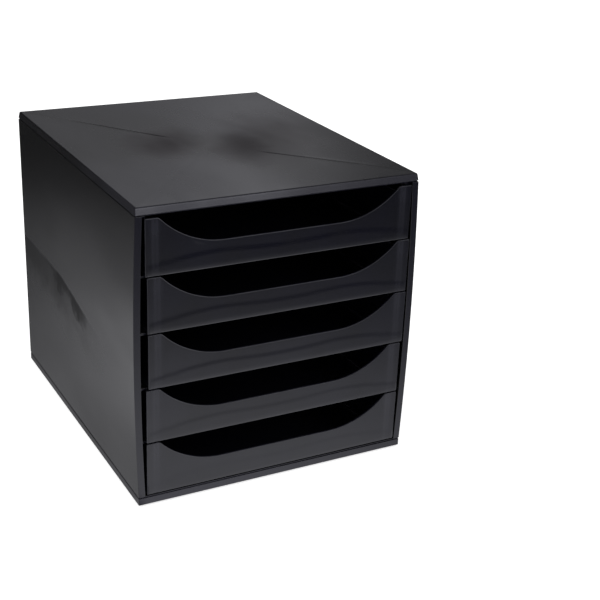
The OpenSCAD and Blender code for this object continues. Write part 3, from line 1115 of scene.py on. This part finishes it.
class DESK_OT_drawers(bpy.types.Operator):
    """Make the five drawers, each a tray moulded in one with its scooped front"""

    bl_idname = "desk.make_drawers"
    bl_label = "Drawers"

    def execute(self, context):
        drawer, marks, finish = settings(context, "drawer", "marks", "finish")
        width, depth, height = TRAY_HIGH - TRAY_LOW
        tray = width / 2 - drawer.wall_inset
        wall_middle = tray - drawer.wall / 2
        flange, lead = width / 2 - drawer.flange_inset, drawer.flange_lead
        start = drawer.front_thickness - WELD
        floor = rounded_slab([
            (-flange, start), (flange, start), (flange, depth - lead), (flange - lead, depth),
            (-flange + lead, depth), (-flange, depth - lead),
        ], 0.0, drawer.floor, 0.0004)
        heels = [
            heel_mesh(drawer, tray - WELD, flange, depth - drawer.corner, side) for side in (-1, 1)
        ]
        front = front_mesh(drawer, marks, width, height, wall_middle)
        whole = grown(
            "tray", combined(front, floor, *heels),
            *tray_steps(drawer, marks, wall_middle, start, depth),
        )
        plastic = satin_plastic("drawer", finish)
        for number, name in enumerate(DRAWERS, 1):
            low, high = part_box(name)
            mesh = grown(name, whole.copy(), ("Drawer in the stack", {
                "Number": number, "Top Drawer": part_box(DRAWERS[0])[0].z, "Pitch": PITCH,
                "Lean": (low.x + high.x) / 2, "Front": low.y,
            }))
            piece(f"letter_{name}", mesh, plastic, f"{name}_tray", [name])
        clear_helpers()
        return {"FINISHED"}


# --- Materials ----------------------------------------------------------------


class Shader(Nodes):
    """A material, a world or a shader node group that is built node by node."""

    def blend(self, amount, first, second):
        """Mixes two colours. A plain one is three numbers."""
        first, second = (
            c if isinstance(c, bpy.types.NodeSocket) else (*c, 1.0) for c in (first, second)
        )
        return self.add("ShaderNodeMix", 2, {"data_type": "RGBA"}, n0=amount, n6=first, n7=second)

    def mix(self, amount, first, second):
        """Mixes two values."""
        return self.add("ShaderNodeMix", 0, {"data_type": "FLOAT"}, n0=amount, n2=first, n3=second)

    def noise(self, vector, scale, detail=2.0, roughness=0.5):
        return self.add(
            "ShaderNodeTexNoise", Vector=vector, Scale=scale, Detail=detail, Roughness=roughness
        )

    def between(self, value, low, high, to_low=0.0, to_high=1.0):
        """Maps a value smoothly from one span to another."""
        return self.add(
            "ShaderNodeMapRange", 0, {"interpolation_type": "SMOOTHSTEP"},
            Value=value, From_Min=low, From_Max=high, To_Min=to_low, To_Max=to_high,
        )

    def ramp(self, value, stops):
        """Maps a value through stops of (value, grey), evenly from stop to stop."""
        low, high = stops[0][0], stops[-1][0]
        node = self.tree.nodes.new("ShaderNodeValToRGB")
        elements = node.color_ramp.elements
        while len(elements) < len(stops):
            elements.new(0.5)
        for element, (at, grey) in zip(elements, stops):
            element.position = (at - low) / (high - low)
            element.color = (grey, grey, grey, 1.0)
        part = self.add("ShaderNodeMapRange", Value=value, From_Min=low, From_Max=high)
        return self.fill(node, n0=part)[0]

    def group(self, name, **values):
        """Places one of the SURFACE_GROUPS, which is built when it is first asked for."""
        if name not in bpy.data.node_groups:
            build, inputs, outputs = SURFACE_GROUPS[name]
            s, given, out = new_tree(
                name, "Shader", {"Position": (0.0, 0.0, 0.0), **inputs},
                dict.fromkeys(outputs, "Float"),
            )
            inner = Shader(s.tree)
            inner.fill(out, **build(inner, given))
        node = self.tree.nodes.new("ShaderNodeGroup")
        node.node_tree = bpy.data.node_groups[name]
        return self.fill(node, **values)


def moulded_flow(s, given):
    """Broad cloudy streaks of the plastic's flow, from 0 to 1, and the height of the fine grain."""
    place, streaks = given["Position"], given["Streaks"]
    stretched = s.add(
        "ShaderNodeMapping", Vector=place, Rotation=given["Turn"], Scale=(1.0, 0.28, 1.0)
    )
    clouds = s.noise(stretched, streaks, 3.0, 0.55)
    patches = s.noise(place, s.times(streaks, 0.35))
    flow = s.between(s.plus(s.times(clouds, 0.6), s.times(patches, 0.4)), 0.36, 0.64)
    return {"Flow": flow, "Height": s.noise(place, given["Grain"], 2.0, 0.6)}


def rubbed_edges(s, given):
    """Where rounded edges have been rubbed pale, from 0 to 1."""
    edge = s.add("ShaderNodeAttribute", 2, {"attribute_name": "rounded_edge"})
    patchy = s.between(s.noise(given["Position"], 45.0, 4.0, 0.6), 0.25, 0.60, 0.3, 1.0)
    return {"Mask": s.times(edge, patchy, given["Amount"], clamp=True)}


def settled_dust(s, given):
    """Fine dust on faces that look up, from 0 to 1."""
    upward = s.between(s.apart(s.add("ShaderNodeNewGeometry", 1))[2], 0.6, 0.98)
    haze = s.between(s.noise(given["Position"], 9.0, 3.0, 0.6), 0.35, 0.75, 0.25, 1.0)
    specks = s.between(s.noise(given["Position"], 420.0, 1.0, 0.4), 0.69, 0.75)
    both = s.plus(s.times(haze, 0.35), s.times(specks, 0.65))
    return {"Mask": s.times(upward, both, given["Amount"], clamp=True)}


def light_scuffs(s, given):
    """Short faint scratches, from 0 to 1."""
    waves = s.add("ShaderNodeTexNoise", 1, Vector=given["Position"], Scale=14.0)
    bent = s.vector("ADD", n0=given["Position"], n1=s.vector("SCALE", n0=waves, Scale=0.05))
    drawn = s.add("ShaderNodeMapping", Vector=bent, Rotation=(0.7, 0.4, 0.9), Scale=(1.0, 0.035, 1.0))
    crack = {"feature": "DISTANCE_TO_EDGE"}
    thin = s.between(
        s.add("ShaderNodeTexVoronoi", 0, crack, Vector=drawn, Scale=34.0), 0.0, 0.012, 1.0, 0.0
    )
    rare = s.between(s.noise(given["Position"], 21.0), 0.60, 0.70)
    return {"Mask": s.times(thin, rare, given["Amount"], clamp=True)}


SURFACE_GROUPS = {
    "Moulded flow": (
        moulded_flow, {"Turn": (0.0, 0.0, 0.0), "Streaks": 18.0, "Grain": 2000.0}, ("Flow", "Height")
    ),
    "Rubbed edges": (rubbed_edges, {"Amount": 0.5}, ("Mask",)),
    "Settled dust": (settled_dust, {"Amount": 0.1}, ("Mask",)),
    "Light scuffs": (light_scuffs, {"Amount": 0.3}, ("Mask",)),
}

# The lid's dull clouds, painted darker as a reflection, two beside the gate and a fainter one to their
# right: each one's place in
# X and Y, its half width and half length, and its strength
CLOUDS = (
    (-0.042, 0.002, 0.042, 0.064, 1.1),
    (0.029, -0.029, 0.042, 0.074, 1.0),
    (0.076, 0.006, 0.058, 0.108, 0.65),
)


# Size of the waves that make their edges ragged, and their turn
CLOUD_WARP, CLOUD_TURN = 0.036, math.radians(-20)


def dull_painted_dark_clouds(s, place):
    """The dull clouds on the lid, painted darker and brownish as a reflection, from 0 to 1."""
    waves = s.add("ShaderNodeTexNoise", 1, Vector=place, Scale=22.0, Detail=3.0)
    warp = s.vector("SCALE", n0=s.vector("SUBTRACT", n0=waves, n1=(0.5, 0.5, 0.5)), Scale=CLOUD_WARP)
    ragged = s.vector("ADD", n0=place, n1=warp)
    clouds = 0.0
    for x, y, half_width, half_length, strength in CLOUDS:
        moved = s.add(
            "ShaderNodeMapping", 0, {"vector_type": "TEXTURE"}, Vector=ragged,
            Location=(x, y, LID_HIGH.z), Rotation=(0.0, 0.0, CLOUD_TURN),
            Scale=(half_width, half_length, 1.0),
        )
        cloud = s.between(s.vector("LENGTH", 1, n0=moved), 0.0, 1.25, strength, 0.0)
        clouds = s.math("MAXIMUM", clouds, cloud)
    return clouds


# The compass angle of the fans of painted sheen, and the distances from the gate over which they grow
SHEEN_FAN_ANGLE, SHEEN_FAN_GROWS = math.radians(59), (0.01, 0.07)
# The dull lines: how far they lie beside the sunk ones, their half widths from clear to gone, and
# the distances from the gate over which they begin and fade
DULL_OFF, DULL_WIDTH, DULL_BEGINS, DULL_FADES = 0.0008, (0.0002, 0.0026), (0.045, 0.065), (0.13, 0.185)


def lid_marks(s, place):
    """Pale fans of painted sheen around the gate, the dull skin of the visible lines, and the clouds of
    painted darker reflection.
    """
    x, y, _ = s.apart(place)
    flat = s.add("ShaderNodeCombineXYZ", X=s.less(x, GATE.x), Y=s.less(y, GATE.y))
    x, y, _ = s.apart(flat)
    compass = s.plus(s.math("ARCTAN2", y, x), s.times(s.noise(place, 12.0), 0.8))
    # Painted sheen: lighter fans around the gate, which stand in for light on a lid that is faintly
    # faceted towards it
    fan = s.math("COSINE", s.times(s.less(compass, SHEEN_FAN_ANGLE + 0.4), 2.0))
    grown_to = s.between(s.vector("LENGTH", 1, n0=flat), *SHEEN_FAN_GROWS)
    sheen_fans = s.times(s.between(fan, -0.4, 1.0), grown_to)
    dull = 0.0
    for forward, across, _ in list(lid_lines())[:2]:
        run, off = (s.vector("DOT_PRODUCT", 1, n0=flat, n1=way) for way in (forward, across))
        line = s.between(s.math("ABSOLUTE", s.plus(off, DULL_OFF)), *DULL_WIDTH, 0.5, 0.0)
        shown = s.times(s.between(run, *DULL_BEGINS), s.between(run, *DULL_FADES, 1.0, LINE_LEFT))
        dull = s.math("MAXIMUM", dull, s.times(line, shown))
    return sheen_fans, dull, dull_painted_dark_clouds(s, place)


# The S-shaped line across a side rises between two places in Y from one height to another
SIDE_LINE = (-0.085, 0.07, 0.136, 0.1545)
# The dull band below it: the places in Y where its near, dark part begins and fades and its wide,
# faint part begins, and the depths below the line over which the two fade
NEAR_BEGINS, NEAR_FADES, WIDE_BEGINS = (-0.060, -0.012), (0.05, 0.11), (-0.12, 0.06)
NEAR_DEPTH, WIDE_DEPTH = (-0.002, 0.026), (0.010, 0.055)


def side_marks(s, place):
    """The ragged dull band below a long S-shaped flow line across each side."""
    _, y, z = s.apart(place)
    ragged = s.less(s.noise(place, 30.0), 0.5)
    fine = s.less(s.noise(place, 110.0), 0.5)
    line = s.between(y, *SIDE_LINE)
    below = s.less(s.plus(line, s.times(ragged, 0.006)), z)
    frayed = s.less(below, s.times(s.plus(ragged, s.times(fine, 0.35)), 0.055))
    near = s.times(
        s.between(frayed, *NEAR_DEPTH, 0.85, 0.0),
        s.between(y, *NEAR_BEGINS), s.between(y, *NEAR_FADES, 1.0, 0.35),
    )
    wide = s.times(s.between(frayed, *WIDE_DEPTH, 0.36, 0.0), s.between(y, *WIDE_BEGINS))
    return None, s.times(s.between(below, -0.0012, 0.0028), s.math("MAXIMUM", near, wide)), None


def front_painted_highlights(s, place):
    """The painted highlight over a drawer's walls."""
    return s.add("ShaderNodeAttribute", 2, {"attribute_name": "pale"}), None, None


# For each kind of plastic: how much smoother it is, its wear, dust and scuffs, the turn and scale
# of its streaks, its marks, some of which are painted light, and how much painted blue sheen it has on
# faces that look to the front
PLASTICS = {
    "lid": (0.0, 0.04, 0.02, 0.04, (0.0, 0.0, math.radians(40)), 16.0, lid_marks, 0.3),
    "side": (0.0, 0.08, 0.03, 0.06, (math.radians(12), 0.0, 0.0), 14.0, side_marks, 0.3),
    "drawer": (0.02, 0.18, 0.06, 0.06, (0.0, 0.0, math.radians(90)), 20.0, front_painted_highlights, 0.0),
}


# The plastic's darkest and lightest flow, as shares of its colour, and the change in roughness
DARK_FLOW, LIGHT_FLOW, FLOW_ROUGHNESS = 0.82, 1.18, 0.035
# What the painted sheen of the lid's fans, the painted highlight over the drawers' walls and the
# painted blue sheen on faces that look to the front add to the colour, and the shares of it that are
# left in the clouds of painted darker reflection
PAINTED_SHEEN, PAINTED_BLUE_SHEEN, PAINTED_DARK_REFLECTION = Vector((0.011, 0.011, 0.014)), Vector((0.0, 0.0, 0.02)), Vector((1.2, 0.6, 0.8))
# What dull lines, clouds and dust add to the roughness, and what rubbing takes off
DULL_LINE, DULL_CLOUD, DUSTY, RUBBED = 0.5, 0.21, 0.3, 0.08
# Strength and depth in metres of the plastic's and of the rubber's fine grain
PLASTIC_GRAIN, RUBBER_GRAIN = (0.12, 0.00006), (0.4, 0.0001)


def fine_grain(s, height, grain):
    strength, depth = grain
    return s.add("ShaderNodeBump", Strength=strength, Distance=depth, Height=height)


def start_material(name):
    """A new material's nodes, and the place on the object."""
    material = bpy.data.materials.new(name)
    material.use_nodes = True
    s = Shader(material.node_tree)
    return material, s, s.add("ShaderNodeTexCoord", 3)


def satin_plastic(kind, finish):
    """Satin black plastic with flow marks, fine grain, rubbed edges, dust and scuffs, and painted
    sheen, highlights and darker reflections.
    """
    name = f"satin_black_{kind}"
    if name in bpy.data.materials:
        return bpy.data.materials[name]
    smoother, wear, dust, scuffs, turn, streaks, marks, front_blue_sheen = PLASTICS[kind]
    base = Vector(getattr(finish, f"{kind}_colour"))
    roughness = finish.roughness - smoother
    material, s, place = start_material(name)
    flow = s.group(
        "Moulded flow", Position=place, Turn=turn, Streaks=streaks, Grain=1.0 / finish.grain
    )
    rubbed, dusty, scuffed = (
        s.group(group, Position=place, Amount=amount)["Mask"]
        for group, amount in (
            ("Rubbed edges", wear), ("Settled dust", dust), ("Light scuffs", scuffs),
        )
    )
    painted_sheen, dull, dull_painted_dark = marks(s, place)
    tint = s.blend(flow["Flow"], DARK_FLOW * base, LIGHT_FLOW * base)
    duller, glossier = roughness + FLOW_ROUGHNESS, roughness - FLOW_ROUGHNESS
    rough = s.between(flow["Flow"], 0.0, 1.0, duller, glossier)
    # Painted sheen and painted highlight: lighter colour where the marks say so
    if painted_sheen:
        tint = s.blend(painted_sheen, tint, base + PAINTED_SHEEN)
    if dull:
        rough = s.plus(rough, s.times(dull, DULL_LINE))
    # Painted blue sheen on faces that look to the front
    if front_blue_sheen:
        facing = s.apart(s.add("ShaderNodeNewGeometry", 1))[1]
        to_front = s.between(facing, -0.95, -0.7, front_blue_sheen, 0.0)
        tint = s.blend(to_front, tint, base + PAINTED_BLUE_SHEEN)
    # Painted darker, brownish reflection in the clouds, which are also duller
    if dull_painted_dark:
        tint = s.blend(dull_painted_dark, tint, base * PAINTED_DARK_REFLECTION)
        rough = s.plus(rough, s.times(dull_painted_dark, DULL_CLOUD))
    for mask, cover in (
        (rubbed, finish.rubbed_colour), (scuffed, finish.rubbed_colour), (dusty, finish.dust_colour),
    ):
        tint = s.blend(mask, tint, cover)
    rough = s.less(s.plus(rough, s.times(dusty, DUSTY)), s.times(rubbed, RUBBED), True)
    grain = fine_grain(s, flow["Height"], PLASTIC_GRAIN)
    shader = s.tree.nodes["Principled BSDF"]
    s.fill(shader, Base_Color=tint, Roughness=rough, Normal=grain, IOR=1.55)
    return material


def rubber(finish):
    """Dull black rubber with a pebbled face and a little grey bloom."""
    material, s, place = start_material("matt_black_rubber")
    flow = s.group("Moulded flow", Position=place, Streaks=220.0, Grain=2600.0)
    worn = s.group("Rubbed edges", Position=place, Amount=0.6)["Mask"]
    base = Vector(finish.rubber_colour)
    tint = s.blend(s.times(flow["Flow"], 0.6), base, 2.2 * base)
    tint = s.blend(worn, tint, (0.045, 0.044, 0.042))
    rough = s.between(flow["Flow"], 0.0, 1.0, 0.72, 0.86)
    grain = fine_grain(s, flow["Height"], RUBBER_GRAIN)
    s.fill(s.tree.nodes["Principled BSDF"], Base_Color=tint, Roughness=rough, Normal=grain)
    return material


# --- Stage --------------------------------------------------------------------

WHITE = (1.0, 1.0, 1.0, 1.0)
# How bright the floor shines by itself to the camera, which makes it white with a soft shadow
FLOOR_SHINE = 0.62
# The colour of the light in reflections
COOL_LIGHT = (1.0, 1.0, 1.05, 1.0)
# The middle of the floor's lit patch
LIT_MIDDLE = (-0.10, -0.10, 0.0)
# How bright reflections see the floor, by the distance in metres from the middle of that patch
FLOOR_GLOW = (
    (0.0, 1.03), (0.15, 1.0), (0.22, 0.91), (0.28, 0.76), (0.38, 0.61), (0.46, 0.41), (0.54, 0.30),
    (0.74, 0.18), (0.95, 0.06), (1.2, 0.02), (1.45, 0.03), (1.8, 0.07), (4.0, 0.07),
)
# The same behind the unit and to its right, by the distance from the unit's middle
FLOOR_GLOW_BEHIND = ((0.0, 0.80), (0.3, 0.72), (0.7, 0.50), (1.4, 0.36), (4.0, 0.30))
# How much of the floor's glow is left in the unit's soft shadow, by the place along X
LEFT_SHADE = (
    (-0.6, 0.92), (-0.37, 0.90), (-0.30, 0.90), (-0.25, 0.80), (-0.20, 0.44), (-0.16, 0.32),
    (-0.13, 0.32),
)
# Spans in metres over which that changes: to the left of the unit and past its front edge for
# the shadow, far in front where the glow ends, and to the right and the back
SHADE_X, SHADE_Y, GLOW_ENDS = (-0.14, -0.13), (-0.24, -0.15), (-1.5, -0.95)
BEHIND_X, BEHIND_Y = (-0.08, 0.08), (-0.16, 0.0)
# How bright they see the room's walls, by the compass angle in degrees from +X
ROOM_GLOW = (
    (-180, 0.6), (-95, 0.55), (-20, 0.5), (30, 0.4), (50, 0.35), (57.5, 0.20), (62, 1.03),
    (64.5, 1.08), (68, 0.65), (76, 0.63), (81, 0.46), (87, 0.03), (115, 0.03), (128, 0.45),
    (180, 0.6),
)
# How much of that is left by height, which is the sine of the angle above the floor
ROOM_BY_HEIGHT = (
    (-0.1, 0.0), (-0.01, 0.02), (0.04, 0.20), (0.20, 0.215), (0.27, 0.31), (0.34, 0.64),
    (0.50, 0.64), (0.64, 0.2), (1.0, 0.2),
)
# The window that they see in front of the unit, by the same angle and height
WINDOW_GLOW = (
    (-76, 0.0), (-73, 0.9), (-71, 1.0), (-66, 1.1), (-64, 1.2), (-62, 0.5), (-60.5, 0.0),
)
WINDOW_BY_HEIGHT = ((0.0, 0.0), (0.045, 2.4), (0.11, 2.4), (0.17, 3.0), (0.25, 3.0), (0.29, 0.0))


def by_ray(s, plain, mirrored, shown):
    """The shown shader for the camera and through glass, the mirrored one for reflections."""
    rays = s.tree.nodes.new("ShaderNodeLightPath").outputs
    direct = s.math("MAXIMUM", rays["Is Camera Ray"], rays["Is Transmission Ray"])
    others = s.add("ShaderNodeMixShader", n0=rays["Is Glossy Ray"], n1=plain, n2=mirrored)
    return s.add("ShaderNodeMixShader", n0=direct, n1=others, n2=shown)


def floor_material():
    """White floor. Reflections see it bright around the unit and dimmer further off."""
    material, s, place = start_material("studio_floor")
    s.tree.nodes.remove(s.tree.nodes["Principled BSDF"])
    x, y, _ = s.apart(place)
    shifted = s.add("ShaderNodeMapping", Vector=place, Location=[-c for c in LIT_MIDDLE])
    shaded = s.times(s.between(x, *SHADE_X, 1.0, 0.0), s.between(y, *SHADE_Y))
    shade = s.mix(shaded, 1.0, s.ramp(x, LEFT_SHADE))
    near_enough = s.between(y, *GLOW_ENDS, 0.1, 1.0)
    glow = s.times(s.ramp(s.vector("LENGTH", 1, n0=shifted), FLOOR_GLOW), shade, near_enough)
    round_back = s.times(s.between(x, *BEHIND_X), s.between(y, *BEHIND_Y))
    behind = s.ramp(s.vector("LENGTH", 1, n0=place), FLOOR_GLOW_BEHIND)
    glow = s.mix(round_back, glow, behind)
    lit = s.add("ShaderNodeBsdfDiffuse", Color=(0.8, 0.8, 0.8, 1.0))
    white = s.add("ShaderNodeEmission", Color=WHITE, Strength=FLOOR_SHINE)
    mirrored = s.add("ShaderNodeEmission", Color=COOL_LIGHT, Strength=glow)
    shown = s.add("ShaderNodeAddShader", n0=lit, n1=white)
    s.fill(s.tree.nodes["Material Output"], Surface=by_ray(s, lit, mirrored, shown))
    return material


def light_world(context, ambient):
    """Even soft light. Reflections see a grey room with darker corners, and a window in front."""
    world = bpy.data.worlds.new("studio_world")
    context.scene.world = world
    world.use_nodes = True
    s = Shader(world.node_tree)
    s.tree.nodes.remove(s.tree.nodes["Background"])
    x, y, z = s.apart(s.add("ShaderNodeTexCoord", 0))
    compass = s.times(s.math("ARCTAN2", y, x), math.degrees(1.0))
    walls, window = (
        s.times(s.ramp(compass, glow), s.ramp(z, by_height))
        for glow, by_height in ((ROOM_GLOW, ROOM_BY_HEIGHT), (WINDOW_GLOW, WINDOW_BY_HEIGHT))
    )
    soft, room, white = (
        s.add("ShaderNodeBackground", Color=tint, Strength=strength)
        for tint, strength in (
            (WHITE, ambient), (COOL_LIGHT, s.plus(walls, window)), (WHITE, 1.0),
        )
    )
    s.fill(s.tree.nodes["World Output"], Surface=by_ray(s, soft, room, white))


# The middle of the unit, where the lamps point
LAMPS_AIM = Vector((0.0, 0.0, 0.15))


def soft_lamp(name, place, width, power):
    """A square soft box that points at the unit and isn't seen in reflections."""
    data = bpy.data.lights.new(name, "AREA")
    data.size = width
    data.energy = power
    lamp = in_scene(name, data)
    lamp.location = place
    aim = LAMPS_AIM - Vector(place)
    lamp.rotation_euler = aim.to_track_quat("-Z", "Y").to_euler()
    lamp.visible_glossy = False


class DESK_OT_stage(bpy.types.Operator):
    """Set up the pale floor, the soft light and the camera"""

    bl_idname = "desk.set_stage"
    bl_label = "Floor, Light and Camera"

    def execute(self, context):
        (studio,) = settings(context, "studio")
        half = studio.floor_size / 2
        mesh = bpy.data.meshes.new("floor")
        corners = [(-half, -half, 0), (half, -half, 0), (half, half, 0), (-half, half, 0)]
        mesh.from_pydata(corners, [], [(0, 1, 2, 3)])
        mesh.materials.append(floor_material())
        in_scene("floor", mesh)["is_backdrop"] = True
        light_world(context, studio.ambient)
        soft_lamp("overhead", place=(-0.5, -0.4, 1.9), width=1.4, power=9.0)
        soft_lamp("front_fill", place=(0.9, -1.9, 1.1), width=1.2, power=5.0)
        camera = in_scene("camera", bpy.data.cameras.new("camera"))
        camera.data.lens = studio.lens
        camera.data.sensor_width = 36.0
        camera.location = studio.camera_place
        camera.rotation_euler = studio.camera_turn
        context.scene.camera = camera
        context.scene.view_settings.view_transform = "Standard"
        return {"FINISHED"}


# --- The add-on ---------------------------------------------------------------

GROUPS = {
    "case": CaseSizes, "drawer": DrawerSizes, "marks": MouldingMarks, "finish": Finish,
    "studio": Studio,
}
STEPS = [
    DESK_OT_stage, DESK_OT_lids, DESK_OT_sides, DESK_OT_back, DESK_OT_drawers, DESK_OT_feet,
]


class DESK_PT_unit(bpy.types.Panel):
    """Lists the steps that build the unit, with their settings"""

    bl_idname = "DESK_PT_unit"
    bl_label = "Letter Drawer Unit"
    bl_space_type = "VIEW_3D"
    bl_region_type = "UI"
    bl_category = "Letter Drawers"

    def draw(self, context):
        for step in STEPS:
            self.layout.operator(step.bl_idname)
        for name, group in GROUPS.items():
            column = self.layout.column(heading=name.capitalize())
            for entry in group.__annotations__:
                column.prop(getattr(context.scene, f"desk_{name}"), entry)


def register():
    for entry in [*GROUPS.values(), *STEPS, DESK_PT_unit]:
        bpy.utils.register_class(entry)
    for name, group in GROUPS.items():
        setattr(bpy.types.Scene, f"desk_{name}", PointerProperty(type=group))


def unregister():
    for name in GROUPS:
        delattr(bpy.types.Scene, f"desk_{name}")
    for entry in reversed([*GROUPS.values(), *STEPS, DESK_PT_unit]):
        bpy.utils.unregister_class(entry)


def main():
    register()
    for step in STEPS:
        area, name = step.bl_idname.split(".")
        getattr(getattr(bpy.ops, area), name)()


if __name__ == "__main__":
    main()
